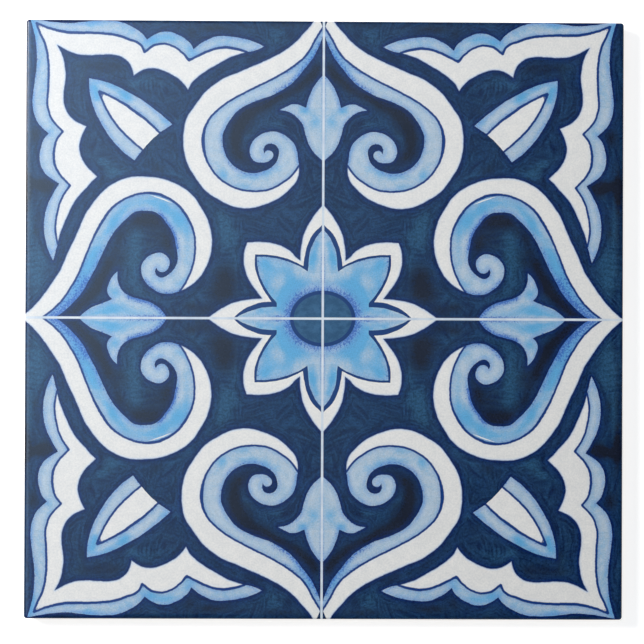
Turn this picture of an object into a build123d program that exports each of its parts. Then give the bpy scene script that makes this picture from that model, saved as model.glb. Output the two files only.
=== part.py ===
import os

from build123d import *

# A square ceramic wall tile, pressed and fired in one piece. It lies on its keyed back
# with the glazed face up. The origin is the centre of the back, +Z points out of the
# glazed face, and sizes are in millimetres.

# Plan and thickness
face_side = 152.4  # across the glazed face: a 6 inch tile
tile_thickness = 7.0  # from the ribs of the back to the glazed face
corner_radius = 0.8  # upright corners, seen from above

# Edge section, from the back up
back_inset = 0.5  # how far the back stands in from the sides, which lets the die release
back_bevel = 0.4  # bevel that keeps the back's edge from chipping
flank_height = 4.2  # height of the drafted flank, below the upright land
glaze_roll = 0.6  # radius that rolls the glaze over the edge of the face

# Keyed back: square pockets that grip the adhesive, with ribs between them
rim_width = 5.5  # plain border round the pockets
rib_width = 3.2  # narrowest part of a rib, at the mouths of two pockets
pockets_across = 8
pocket_depth = 0.9
pocket_corner_radius = 1.6
pocket_draft = 35.0  # degrees that a pocket's walls lean from upright

# Places that follow from the sizes above
back_side = face_side - 2 * back_inset
pocket_field = back_side - 2 * rim_width
pocket_side = (pocket_field - (pockets_across - 1) * rib_width) / pockets_across
pocket_pitch = pocket_side + rib_width

# One pocket as a plug that stands on the back's plane and narrows towards its floor
with BuildPart() as pocket:
    with BuildSketch():
        RectangleRounded(pocket_side, pocket_side, pocket_corner_radius)
    extrude(amount=pocket_depth, taper=pocket_draft)

with BuildPart() as tile:
    # Drafted flank, from the smaller back out to the full plan
    with BuildSketch():
        RectangleRounded(back_side, back_side, corner_radius)
    with BuildSketch(Plane.XY.offset(flank_height)):
        RectangleRounded(face_side, face_side, corner_radius)
    loft()

    # Upright land that carries the face
    with BuildSketch(Plane.XY.offset(flank_height)):
        RectangleRounded(face_side, face_side, corner_radius)
    extrude(amount=tile_thickness - flank_height)

    # Edges of the face and of the back
    glazed_face = tile.faces().sort_by(Axis.Z)[-1]
    fillet(glazed_face.edges(), radius=glaze_roll)
    back_face = tile.faces().sort_by(Axis.Z)[0]
    chamfer(back_face.edges(), length=back_bevel)

    # Pockets pressed into the back
    with GridLocations(pocket_pitch, pocket_pitch, pockets_across, pockets_across):
        add(pocket.part, mode=Mode.SUBTRACT)

tile.part.label = "tile"

os.makedirs("parts", exist_ok=True)
export_step(tile.part, "parts/tile.step")
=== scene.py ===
import math

import bmesh
import bpy
import numpy as np
from mathutils import Matrix, Vector
from mathutils.geometry import delaunay_2d_cdt
from mathutils.kdtree import KDTree


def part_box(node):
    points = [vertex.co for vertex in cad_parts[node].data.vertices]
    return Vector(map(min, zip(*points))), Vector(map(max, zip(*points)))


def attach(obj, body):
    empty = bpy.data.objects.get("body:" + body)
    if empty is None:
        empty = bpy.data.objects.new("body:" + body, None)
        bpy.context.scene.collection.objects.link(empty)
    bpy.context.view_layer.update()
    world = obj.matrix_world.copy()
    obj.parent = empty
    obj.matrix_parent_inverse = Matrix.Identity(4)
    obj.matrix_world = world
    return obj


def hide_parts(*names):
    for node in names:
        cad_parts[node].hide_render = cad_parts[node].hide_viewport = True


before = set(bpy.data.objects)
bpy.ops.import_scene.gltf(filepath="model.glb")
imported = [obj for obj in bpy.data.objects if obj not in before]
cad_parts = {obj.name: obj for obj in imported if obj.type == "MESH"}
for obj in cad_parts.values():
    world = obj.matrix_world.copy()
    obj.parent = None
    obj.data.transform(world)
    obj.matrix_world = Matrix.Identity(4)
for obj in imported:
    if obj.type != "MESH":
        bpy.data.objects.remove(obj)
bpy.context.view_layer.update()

mm = 0.001
tileLow, tileHigh = (Vector(corner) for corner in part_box("tile"))
faceSide = (tileHigh.x - tileLow.x) / mm  # the tile's size comes from its part in model.glb
faceHeight = tileHigh.z / mm
print("tile", round(faceSide, 2), "mm wide,", round(faceHeight, 2), "mm thick")


# The printed ornament. It is one quarter, mirrored left to right and top to bottom.
# Points are in millimetres from the print's centre, x to the right and y up.
# A run is a smooth curve through its points, and runs meet at cusps.
ornamentRuns = {
    # Scroll that falls from the top edge: white back, curl, hollow, and the line between white and blue
    "upperBack": [
        (1.7, 77.4), (2.9, 75.3), (5, 72.95), (6.9, 70.75), (8.8, 69.2), (11.3, 67.5), (14.7, 65.8),
        (18.75, 64), (22.5, 62.4), (25, 61.4), (28, 59.5), (30.1, 57.7), (31.8, 55.6), (33.5, 53.2),
        (34.9, 50.9), (35.6, 48), (35.75, 45.4), (35.5, 42.2), (34.7, 39.4), (33.1, 36.5), (31, 33.5),
        (29.4, 31.9), (27, 30.35), (24.3, 28.95), (21.5, 28.1), (18.7, 28), (16, 28.6), (13.1, 29.65),
        (10.8, 30.95), (8.8, 32.65), (7.15, 34.45), (6.3, 36.4), (6.15, 39),
    ],
    "upperCurl": [
        (6.15, 39), (6.5, 41), (6.7, 42.7), (7.5, 44.5), (9.2, 46.2), (11.3, 47.4), (13.5, 47.6), (15.6, 47),
        (17.3, 45.9), (18.5, 44.2), (18.75, 42.2), (18.2, 40.7), (17.3, 39.9), (15.8, 39.65), (14.3, 39.9),
        (13.1, 40.7), (12.75, 41.7), (13.2, 42.6), (14.1, 42.9), (14.8, 42.5), (15.1, 41.9),
    ],
    "upperHollow": [
        (15.1, 41.9), (15.2, 43.2), (14.6, 44.25), (13.4, 44.5), (12.2, 44.2), (11.4, 43), (11.4, 41.5),
        (12, 39.9), (13.2, 38.5), (15.2, 37.5), (17.8, 37), (20.4, 37.4), (22.8, 38.8), (24.6, 41),
        (25.6, 43.8), (25.7, 46.3), (25, 48.5), (23.7, 50.7), (21.8, 52.9), (19.5, 54.4), (16.5, 55.65),
        (13.5, 56.7), (11, 57.95), (8.6, 59.5), (6.5, 61.6), (4.9, 63.6), (2.9, 66.2), (1.75, 68.3),
        (0.8, 70.4), (0.3, 72.2), (0, 73.6),
    ],
    "upperLine": [
        (0, 74.6), (0.9, 73.2), (2, 71.4), (3.3, 68.9), (5, 66.55), (7, 64.8), (10, 62.75), (13, 61),
        (16.5, 59.3), (20, 57.5), (23.5, 55.6), (26.5, 53.4), (28.6, 51.4), (30, 48.9), (30.6, 46.6),
        (30.65, 44.6), (30.35, 42.6), (29.7, 40.2), (28.4, 37.9), (26.6, 35.75), (24.3, 34.1), (21.8, 33),
        (18.5, 32.4), (15.5, 32.5), (12.9, 33.15), (10.2, 34.7), (8.2, 36.3), (6.9, 37.9), (6.15, 39),
    ],
    # Scroll that comes in from the side edge
    "sideBack": [
        (77.4, -0.4), (76, 0.6), (75, 1.5), (73.4, 3), (71.8, 4.8), (70, 7.3), (68.5, 9.5), (67, 11.8),
        (65.8, 14.5), (64.6, 17.3), (63.3, 20), (61.8, 23.4), (60.6, 26.3), (59.1, 28.5), (57.4, 30.8),
        (55.2, 33), (52.8, 34.55), (50.3, 35.6), (47.9, 36), (45.3, 36), (42.5, 35.8), (39.55, 35.05),
        (36.9, 33.95), (34.55, 32.45), (32.45, 30.4), (31.1, 28.2), (29.7, 25.8), (28.8, 23.4), (28.3, 20.6),
        (28.3, 18), (28.7, 15.7), (29.7, 13.1), (31.2, 10.5), (33.2, 8.6), (34.9, 7.5), (36.4, 6.8),
    ],
    "sideCurl": [
        (36.4, 6.8), (38.2, 6.3), (40, 6.15), (41.7, 6.5), (43.4, 7.5), (45, 8.9), (46, 10.8), (46.25, 12.7),
        (45.8, 14.2), (44.7, 15.5), (43.2, 16.3), (41.5, 16.6), (40.1, 16.05), (39.2, 15), (39, 13.8),
        (39.5, 12.5), (40.4, 11.75), (41.5, 11.75), (42.1, 12.2), (42.4, 12.8),
    ],
    "sideHollow": [
        (42.4, 12.8), (42.75, 11.9), (42.4, 10.9), (41.4, 10.3), (40.2, 10.45), (38.9, 11.4), (37.7, 12.8),
        (37, 14.8), (37.1, 16.8), (37.55, 18.9), (37.9, 20.6), (38.7, 22.5), (40, 24.3), (41.3, 25.9),
        (43.1, 27.05), (45.5, 27.3), (47.8, 27), (50, 25.3), (51.9, 23.4), (53.4, 21.5), (54.8, 19.2),
        (56.1, 16.4), (57.6, 13.2), (59.2, 10.1), (60.9, 7), (62.75, 4.6), (65, 2.35), (66.7, 0.95),
        (68.2, 0),
    ],
    "sideLine": [
        (71.4, 0), (69.95, 1), (67.95, 2.65), (66.1, 4.7), (64.4, 7.2), (62.85, 9.8), (61.55, 12.65),
        (60.35, 15.75), (59.1, 18.8), (57.6, 22), (55.9, 25), (53.75, 27.9), (51.5, 29.7), (49, 30.9),
        (46.5, 31.65), (44.2, 31.8), (41.6, 31.35), (38.9, 30.2), (36.8, 28.6), (35.2, 26.6), (33.7, 24),
        (32.8, 21.2), (32.55, 18.4), (32.75, 15.5), (33.4, 12.5), (34.4, 10.1), (35.4, 8.3), (36.4, 6.8),
    ],
    "glintTop": [(38.1, 29.15), (41, 30.5), (44.3, 31.35)],
    "glintUnder": [(44.3, 31.35), (41.2, 30.2), (38.1, 29.15)],
    # Half palmettes on the two axes
    "upperPalmetteBack": [(0, 62.2), (1.3, 60.8), (2.7, 58.7), (3.6, 56.7), (4.2, 54.8), (4.45, 53.7)],
    "upperPalmetteHorn": [(4.45, 53.7), (5.4, 54.1), (6.6, 54.55), (8.2, 54.5), (9.6, 53.95), (11.1, 53.1)],
    "upperPalmetteBelly": [
        (11.1, 53.1), (9.3, 52.8), (7.8, 52.1), (6.45, 50.85), (5.45, 49.7), (4.9, 48.25), (4.45, 46.45),
        (3.8, 44.5), (2.8, 42.8), (1.5, 41.4), (0, 40),
    ],
    "sidePalmetteBelly": [
        (39.7, 0), (40.1, 0.7), (41, 1.95), (42.4, 3.15), (44.4, 4.15), (46.6, 4.75), (48.7, 5.4),
        (50.4, 6.3), (51.65, 7.8), (52.25, 9.8), (52.3, 11.8),
    ],
    "sidePalmetteHorn": [(52.3, 11.8), (53.5, 10.6), (54.4, 8.9), (54.85, 7.1), (54.5, 5.7), (53.6, 4.75)],
    "sidePalmetteBack": [(53.6, 4.75), (55.2, 4.05), (57.2, 3.3), (59.2, 2.4), (60.7, 1.3), (62.1, 0)],
    # Lobed bracket in the corner: outer edge, line, inner edge, each from the upper arm to the side arm
    "bracketOutA": [
        (15.2, 69.3), (17, 70.15), (19.5, 71), (22.3, 71.6), (25, 71.85), (27.5, 71.75), (29.5, 71),
        (31.3, 70), (33.2, 68.45),
    ],
    "bracketOutB": [
        (33.2, 68.45), (33.8, 69.7), (35.2, 71), (37, 72.1), (39, 72.85), (41, 72.85), (43.2, 72.1),
        (45.05, 70.85),
    ],
    "bracketOutC": [
        (45.05, 70.85), (46, 72.1), (47.6, 73.4), (49.8, 74.6), (52.2, 75.4), (55, 75.65), (58, 75.6),
        (61.5, 75.25), (65, 74.9), (68.5, 75.15), (71.5, 75.6), (74.8, 76.2),
    ],
    "bracketOutD": [
        (74.8, 76.2), (74.3, 74.6), (73.7, 72.3), (73.2, 69.5), (73, 66), (73.15, 63), (73.6, 59.6),
        (74, 56.3), (74, 53.8), (73.45, 51.1), (72.2, 48.9), (69.9, 46.8),
    ],
    "bracketOutE": [
        (69.9, 46.8), (71, 45.6), (71.8, 43.6), (72.2, 41), (71.9, 38.7), (71, 36.9), (69.3, 35.4),
        (67.2, 34.1),
    ],
    "bracketOutF": [
        (67.2, 34.1), (68.3, 32.3), (69.4, 30.2), (70.4, 27.7), (70.95, 25), (70.9, 21.5), (70.3, 18.4),
        (69.5, 16.2), (68.65, 14.5),
    ],
    "bracketLineA": [
        (19.6, 67.85), (21.2, 68.35), (23.3, 68.8), (25.5, 68.95), (28, 68.55), (31, 67.3), (34.35, 65.6),
    ],
    "bracketLineB": [
        (34.35, 65.6), (35.4, 66.95), (37.2, 68.5), (39.2, 69.55), (41.1, 69.85), (43.3, 69.35),
        (45.7, 67.6),
    ],
    "bracketLineC": [
        (45.7, 67.6), (46.2, 68.9), (47.2, 69.95), (49.5, 70.85), (52, 71.75), (55, 72.25), (58.5, 72.5),
        (62.5, 72.5), (66, 72.7), (69.5, 73.5), (73.2, 74.9),
    ],
    "bracketLineD": [
        (73.2, 74.9), (72.3, 72.6), (71.2, 70.2), (70.5, 68), (70.1, 65.3), (70, 61.5), (70.15, 57.5),
        (70.35, 55), (69.95, 52.6), (69, 50.2), (66.3, 47.3),
    ],
    "bracketLineE": [
        (66.3, 47.3), (67.75, 45.5), (68.4, 43.5), (68.6, 41.3), (68.3, 38.8), (67.1, 36.45), (64.4, 33.6),
    ],
    "bracketLineF": [
        (64.4, 33.6), (65.7, 31.8), (66.8, 29.7), (67.6, 26.8), (68.1, 23.8), (68, 21.4), (67.5, 18.7),
    ],
    "bracketInA": [(15.2, 69.3), (16.6, 68.6), (18.3, 68.05), (19.6, 67.85)],
    "bracketInB": [
        (19.6, 67.85), (21.5, 67.25), (24, 66.35), (26.8, 64.8), (29.5, 63.2), (31.8, 61.6), (33.4, 60.1),
        (34.55, 58.1),
    ],
    "bracketInC": [
        (34.55, 58.1), (35.5, 59.4), (37.3, 61.1), (39.8, 62.5), (42, 63.3), (44.2, 63.55), (46.4, 62.95),
        (48.4, 61.6),
    ],
    "bracketInD": [
        (48.4, 61.6), (48.8, 63.3), (49.7, 65), (51.4, 66.35), (53.5, 66.9), (56.5, 66.95), (60, 66.75),
        (62.7, 67), (65.3, 67.95), (67.8, 69.3),
    ],
    "bracketInE": [
        (67.8, 69.3), (66.5, 66.7), (65.8, 63.5), (65.6, 61.3), (66, 58.5), (66.15, 55.8), (65.7, 53.3),
        (64.5, 51.2), (62.7, 49.8), (60.3, 48.7),
    ],
    "bracketInF": [
        (60.3, 48.7), (61.15, 47.05), (61.9, 45), (62.1, 43.2), (61.65, 41.1), (60.5, 38.9), (57.5, 35.9),
    ],
    "bracketInG": [
        (57.5, 35.9), (59, 34.5), (60.5, 32.7), (62.2, 30.9), (63.6, 28.9), (64.9, 26.1), (66.1, 23.4),
        (67, 20.9), (67.5, 18.7),
    ],
    "bracketInH": [(67.5, 18.7), (68, 17), (68.3, 15.6), (68.65, 14.5)],
    # Leaf inside the bracket
    "leafUp": [
        (38.5, 49.3), (40.3, 50.9), (43, 53.1), (46, 55.3), (49, 57.05), (52.2, 58.7), (55.5, 60.05),
        (59.7, 60.95),
    ],
    "leafDown": [
        (59.7, 60.95), (59.65, 58.5), (59.15, 55.5), (57.9, 52), (55.95, 48.35), (53.6, 45), (51.05, 42.3),
        (48.1, 40.1),
    ],
    "leafEnd": [(48.1, 40.1), (46.05, 42.75)],
    "leafCut": [(46.05, 42.75), (44.1, 44.95), (41.7, 47.15)],
    "leafStart": [(41.7, 47.15), (38.5, 49.3)],
    "leafLineUp": [
        (41.7, 47.15), (43.45, 48.85), (46, 51.05), (47.9, 52.4), (49.85, 53.85), (51.9, 55.1), (54, 56.25),
        (55.5, 56.95), (57.2, 57.6),
    ],
    "leafLineDown": [(57.2, 57.6), (56.4, 55.5), (54.45, 51.6), (52, 48.25), (49.3, 45.5), (46.05, 42.75)],
    # Flower in the middle: white edge, ink edge, blue petals
    "flowerOutA": [
        (0, 29), (1.2, 27.75), (2.6, 25.9), (4, 23.6), (5, 21.2), (5.5, 18.9), (5.8, 16.7), (5.75, 14.8),
    ],
    "flowerOutB": [
        (5.75, 14.8), (6.9, 15.7), (8.3, 17.2), (10.3, 18.4), (13, 19.2), (16, 19.55), (19.3, 19.35),
    ],
    "flowerOutC": [
        (19.3, 19.35), (20, 17.4), (20.25, 14.8), (19.8, 12.2), (18.8, 9.6), (17.2, 7.3), (15.5, 5.1),
    ],
    "flowerOutD": [
        (15.5, 5.1), (18, 4.95), (20.5, 4.55), (23.3, 3.8), (25.5, 2.7), (27.5, 1.4), (29.4, 0),
    ],
    "flowerInkA": [(0, 24.2), (0.9, 23.2), (2.2, 22), (3.3, 20.2), (4.1, 18.3), (4.6, 16.2), (5, 13.35)],
    "flowerInkB": [(5, 13.35), (7.3, 14.5), (10, 15.5), (13, 16.1), (17.3, 16.3)],
    "flowerInkC": [(17.3, 16.3), (17.35, 13.5), (16.8, 11), (15.8, 8.6), (14.6, 6.5), (13.1, 4.25)],
    "flowerInkD": [(13.1, 4.25), (15.5, 4.1), (18, 3.35), (20.3, 2.2), (22.9, 0)],
    "flowerBlueA": [(0, 22.7), (1.3, 21.3), (2.5, 19.2), (3.35, 16.8), (3.6, 14.6), (3.85, 12)],
    "flowerBlueB": [(3.85, 12), (6, 13.35), (8.5, 14.35), (11.5, 15.25), (14.2, 15.65), (16.8, 15.7)],
    "flowerBlueC": [(16.8, 15.7), (16.7, 13.5), (16.2, 11.2), (15.2, 8.8), (13.8, 6.5), (11.75, 4)],
    "flowerBlueTip": [(11.75, 4), (11.7, 2.95)],
    "flowerBlueD": [(11.7, 2.95), (13.7, 2.9), (16, 2.6), (18.5, 1.85), (20.6, 1), (22.2, 0)],
}


def lobes(name, ends):
    return [name + end for end in ends]


# Closed shapes in the order they are painted, each with its pigment. A minus sign turns a run round.
ornamentShapes = [
    ("white", ["upperBack", "upperCurl", "upperHollow"]),
    ("blue", ["upperLine", "upperCurl", "upperHollow"]),
    ("white", ["sideBack", "sideCurl", "sideHollow"]),
    ("blue", ["sideLine", "sideCurl", "sideHollow"]),
    ("white", ["glintTop", "glintUnder"]),
    ("blue", ["upperPalmetteBack", "upperPalmetteHorn", "upperPalmetteBelly"]),
    ("blue", ["sidePalmetteBelly", "sidePalmetteHorn", "sidePalmetteBack"]),
    ("blue", lobes("bracketOut", "ABCDEF") + lobes("-bracketIn", "HGFEDCBA")),
    ("white", lobes("bracketLine", "ABCDEF") + lobes("-bracketIn", "GFEDCB")),
    ("blue", ["leafUp", "leafDown", "leafEnd", "leafCut", "leafStart"]),
    ("white", ["leafLineUp", "leafLineDown", "leafCut"]),
    ("white", lobes("flowerOut", "ABCD")),
    ("ink", lobes("flowerInk", "ABCD")),
    ("blue", lobes("flowerBlue", ["A", "B", "C", "Tip", "D"])),
]
innerRuns = ("Line", "Ink", "Blue", "glint", "leafCut")  # runs whose names hold these don't touch the ground

printing = {
    "shift": (-0.48, 0.35),  # how far the print sits from the tile's middle
    "discWide": (8.35, 7.15),  # half axes of the disc in the flower, with its ring
    "discRing": 0.95,
    "crossWide": 0.6,  # white line that parts the four quarters
    "waver": 0.022,  # how far the brush strays from a smooth outline
    "waves": ((1.0, 2.1, 1.0), (0.8, 4.7, 2.3), (0.9, 0.9, 1.0)),  # share, pace, lag from run to run
    "waverFades": 1.5,  # towards the ends of a run
    "lineWide": 0.5,  # cobalt line between white and blue
    # Places where the cobalt line swells: x, y, reach, extra width
    "lineSwells": [
        (30.5, 45, 3.5, 0.4), (42, 31.2, 3.5, 0.22), (56, 24.8, 5, 0.18), (62, 72.5, 6, 0.12),
        (44, 69.4, 3, 0.1), (34.4, 66.2, 1, 0.15), (35, 26, 3, 0.15), (48, 53, 5, 0.2),
        (56.6, 57.2, 1.1, 0.2), (24, 69, 4, 0.2), (31, 67.8, 2.5, 0.15), (52, 71.8, 5, 0.15),
        (66, 73, 6, 0.12), (68.5, 41, 4, 0.15), (70, 61, 7, 0.08),
    ],
}

# Where the painter's brush left more or less colour: x, y, reach along, reach across, turn, strength
washes = {
    "deep": [  # near black pools in the ground
        (2.6, 62.5, 3.5, 1.8, -60, 0.9), (6.5, 59, 3, 1.6, -50, 0.7), (11, 56.8, 4, 1.2, -25, 0.8),
        (16.5, 53.8, 4.5, 2, -25, 0.9), (21, 49.8, 3.5, 3, -60, 0.9), (22.3, 45, 3.5, 2, 90, 0.8),
        (20.5, 40.8, 3.5, 2, 40, 0.7), (26.5, 7, 4, 3.5, 90, 0.7), (25, 11.5, 2.5, 2.5, 0, 0.4),
        (39.4, 19.5, 4, 1.8, 90, 0.7), (43.3, 25.2, 4, 1.8, 10, 0.9), (47, 24.5, 3.5, 2.2, -30, 0.7),
        (51.5, 20.5, 3, 1.5, -55, 0.5), (55, 13.5, 5, 1.6, -62, 0.8), (57, 8.5, 3.5, 2, -50, 0.8),
        (60.8, 4.2, 3.5, 1.6, -40, 0.9), (64, 1.2, 2.5, 1.2, -30, 0.9), (73.3, 46.5, 2.5, 1.4, 90, 0.8),
        (70, 33.2, 2.2, 1.8, 0, 0.9), (72.8, 34, 3.4, 1.6, 0, 0.9), (75.2, 33, 4, 1.2, 90, 0.8),
        (58, 64, 5, 1.8, 5, 0.5), (60.8, 60.8, 1.2, 2.5, 0, 0.5), (27, 73.8, 6, 1.4, 0, 0.6),
        (33.5, 72, 2, 1.5, 60, 0.5), (30.5, 2, 4, 2, 0, 0.5), (73, 22, 1, 3, 0, 0.5),
        (42.5, 38, 3, 1.5, 0, 0.4), (10, 75, 6, 1.3, -5, 0.5), (38.5, 53.5, 2.6, 1.5, -45, 0.4),
        (53, 64, 3, 1.6, 0, 0.4), (23.5, 8.5, 3, 3.5, 0, 0.5), (42.8, 21, 3, 3.2, 0, 0.5),
        (51.5, 14, 2, 5, 25, 0.45), (75.4, 26, 0.9, 22, 0, 0.55), (45, 76.2, 18, 0.8, 0, 0.35),
        (34, 3, 3, 1.2, 0, 0.4),
    ],
    "teal": [  # thinner, greener pools
        (13, 72, 4, 2.5, 0, 0.6), (48, 73.9, 2.5, 0.8, 30, 0.4), (73, 12, 3, 8, 0, 0.9),
        (74.5, 24, 1.2, 6, 0, 0.7), (24, 20.5, 2.8, 5, -15, 0.9), (26, 25.5, 2, 3, -35, 0.6),
        (48, 13.5, 2.8, 7, 0, 1), (47.5, 21, 2, 3.5, 0, 0.5), (12, 49.5, 4.5, 1.2, 10, 0.5),
        (19.8, 45.5, 1.2, 2.5, 15, 0.5), (44.5, 60.5, 3.5, 1.6, 10, 0.5), (48.5, 59.5, 1.8, 1.2, 0, 0.6),
        (42, 52.3, 2.5, 1.2, 30, 0.5), (55, 38.6, 4, 1.3, 35, 0.8), (61.3, 62, 1, 3, 0, 0.5),
        (34.5, 33.8, 3.5, 1, 50, 0.6), (38.5, 37, 2, 1, 40, 0.4), (53, 36.5, 2.5, 0.8, -20, 0.5),
        (37.3, 50.3, 1, 2.2, 20, 0.5), (44, 5.5, 5, 1.5, 10, 0.4), (3, 28.5, 1.5, 2, 0, 0.3),
        (21.8, 14.5, 1, 3, 0, 0.4), (33, 5, 4, 2, 0, 0.3),
    ],
    "sky": [  # stronger sky blue in the light blue
        (3.2, 66.8, 5, 1.6, -58, 0.7), (13.5, 37.5, 4, 1, -25, 0.6), (19, 36.2, 3.5, 0.9, 0, 0.5),
        (25.6, 36.6, 1.8, 1.2, 40, 0.7), (20.5, 33.6, 2.5, 0.9, 5, 0.5), (4.9, 53.2, 1.6, 1.3, 0, 0.8),
        (2.3, 50.3, 1.6, 1.6, 0, 0.7), (33.8, 67.8, 2.4, 1.5, 40, 0.7), (44, 70.4, 2.8, 1.6, -25, 0.8),
        (39, 71.8, 2.5, 1, 10, 0.5), (58.8, 74.9, 2.6, 1, 0, 0.8), (74, 74.3, 1.2, 2.6, 0, 0.8),
        (73.3, 71.8, 0.8, 2, 0, 0.5), (69.3, 47, 1.2, 2, 0, 0.5), (71.6, 57.5, 1, 2.5, 0, 0.3),
        (50.2, 56.3, 1.9, 1.3, 25, 0.9), (58.6, 58.6, 1.6, 2, 0, 0.9), (57.7, 56.2, 1, 1.4, 0, 0.8),
        (40.3, 50.2, 1.6, 1, 40, 0.5), (36.6, 25, 2.6, 3.2, -20, 0.9), (40.5, 28.3, 3.2, 1.8, 35, 0.9),
        (45.5, 29.6, 3.2, 1.8, 0, 0.7), (50.5, 27.8, 3.2, 1.8, -35, 0.5), (53.5, 24.2, 3, 1.5, -50, 0.4),
        (60, 13.5, 5, 1.8, -65, 0.8), (63, 7, 4, 1.8, -55, 0.7), (67, 2.6, 3.5, 1.5, -40, 0.6),
        (52.8, 6.6, 1.8, 1.3, 40, 0.8), (47, 1.3, 6, 1, 0, 0.5), (56, 1.4, 4.5, 1.6, -10, 0.8),
        (52.5, 2.8, 3, 1.2, 10, 0.6), (9.8, 12.4, 2.4, 1.5, 20, 0.4), (14.4, 9, 2.4, 4, 15, 0.5),
        (2.6, 14.8, 1.3, 3, 10, 1), (7.8, 8.6, 2.8, 2.2, -35, 0.55), (15, 14, 1.8, 1.8, 0, 0.6),
        (10, 6, 3, 2, -60, 0.7), (13.5, 6.5, 1.5, 2.5, -30, 0.4), (15, 1.8, 4, 1.4, -15, 0.7),
        (1.6, 19, 0.9, 2.5, 15, 0.6), (42, 9.6, 2.5, 0.8, 5, 0.4), (8.5, 10.8, 1.5, 1.5, 0, 0.3),
        (7.6, 6.8, 4, 1.8, -45, 0.7), (12.5, 13, 5.5, 4.5, 0, 0.35), (53.5, 58.7, 4, 1.2, 30, 0.7),
        (53.6, 23.4, 4.5, 1.5, -55, 0.6), (58, 15.5, 5, 1.5, -65, 0.6), (61.6, 9.3, 4, 1.4, -60, 0.3),
        (10.3, 2, 1.5, 3, 0, 0.6), (2.5, 9, 3, 1.2, -15, 0.5), (34.5, 20, 1, 8, 0, 0.5),
        (36, 9, 3, 1.2, -35, 0.6), (24, 70.3, 6, 1, 0, 0.35), (38.5, 71, 4, 1.2, 0, 0.4),
        (50, 73.5, 5, 1.2, 20, 0.4), (72.2, 65, 1, 5, 0, 0.4),
    ],
}

# Cobalt pencilling on the light blue: run, start and end along it, reach from it, strength
pencilling = [
    ("discEdge", 0, 0.55, 2.1, 1), ("discEdge", 0.5, 1, 1.9, 0.8), ("sidePalmetteBelly", 0, 0.62, 1.1, 1),
    ("sideHollow", 0.8, 1, 2.1, 1), ("sideHollow", 0.66, 0.8, 1.2, 0.6), ("sideHollow", 0.2, 0.36, 0.9, 1),
    ("sideLine", 0, 0.25, 0.8, 0.7), ("upperHollow", 0.7, 0.95, 1.1, 0.8), ("upperLine", 0, 0.2, 0.8, 0.7),
    ("upperHollow", 0.2, 0.34, 0.9, 0.6), ("upperHollow", 0.34, 0.5, 0.6, 0.5),
    ("upperPalmetteBack", 0, 1, 0.6, 0.5), ("bracketOutA", 0.2, 0.9, 0.6, 0.45),
    ("bracketOutC", 0.1, 0.6, 0.6, 0.45), ("bracketOutD", 0.4, 0.9, 0.6, 0.45),
    ("leafDown", 0.3, 0.9, 0.6, 0.4), ("sideHollow", 0.36, 0.66, 0.8, 0.45),
    ("sideLine", 0.45, 0.78, 0.7, 0.5), ("sideCurl", 0, 0.35, 1, 0.7), ("leafLineUp", 0.05, 0.9, 0.8, 0.5),
    ("upperCurl", 0, 0.3, 0.8, 0.4), ("flowerBlueA", 0, 0.6, 0.6, 0.4), ("flowerBlueB", 0.3, 1, 0.7, 0.5),
    ("flowerBlueC", 0, 0.7, 0.8, 0.5), ("bracketLineA", 0.1, 1, 0.6, 0.4),
    ("bracketLineC", 0.1, 1, 0.6, 0.4),
]


def smoothRun(points, spacing):
    # Centripetal Catmull-Rom curve through the points, with a point about every spacing
    points = np.array(points, float)
    if len(points) == 2:
        steps = max(1, round(np.linalg.norm(points[1] - points[0]) / spacing))
        return points[0] + np.linspace(0, 1, steps + 1)[:, None] * (points[1] - points[0])
    points = np.vstack([2 * points[0] - points[1], points, 2 * points[-1] - points[-2]])
    pieces = []
    for before, start, end, after in zip(points, points[1:], points[2:], points[3:]):
        knots = np.cumsum([0] + [np.linalg.norm(b - a) ** 0.5 for a, b in
                                 ((before, start), (start, end), (end, after))])
        steps = max(1, round(np.linalg.norm(end - start) / spacing))
        t = np.linspace(knots[1], knots[2], steps + 1)[:-1, None]

        def weighted(a, b, low, high):
            return ((high - t) * a + (t - low) * b) / (high - low)

        first = weighted(before, start, knots[0], knots[1])
        middle = weighted(start, end, knots[1], knots[2])
        last = weighted(end, after, knots[2], knots[3])
        first, last = weighted(first, middle, knots[0], knots[2]), weighted(middle, last, knots[1], knots[3])
        pieces.append(weighted(first, last, knots[1], knots[2]))
    return np.vstack(pieces + [points[-2:-1]])


def sideways(curve):
    # Unit steps to the left of a curve, and how far apart its points are
    along = np.gradient(curve, axis=0)
    step = np.linalg.norm(along, axis=1)
    return np.column_stack([-along[:, 1], along[:, 0]]) / step[:, None], step


def handDrawn(name, spacing):
    # Lets a smooth run waver a little, as a brush does, but leaves its ends in place
    curve = smoothRun(ornamentRuns[name], spacing)
    number = list(ornamentRuns).index(name)
    across, step = sideways(curve)
    way = np.cumsum(step)
    waver = sum(share * np.sin(way * pace + lag * number) for share, pace, lag in printing["waves"])
    ends = np.clip(np.minimum(way - way[0], way[-1] - way) / printing["waverFades"], 0, 1)
    return curve + (printing["waver"] * waver * ends)[:, None] * across


def quarterEllipse(halfWide, halfHigh, spacing):
    steps = round(0.5 * math.pi * max(halfWide, halfHigh) / spacing)
    turn = np.linspace(0, math.pi / 2, steps + 1)
    return np.column_stack([halfWide * np.cos(turn), halfHigh * np.sin(turn)])


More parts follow.
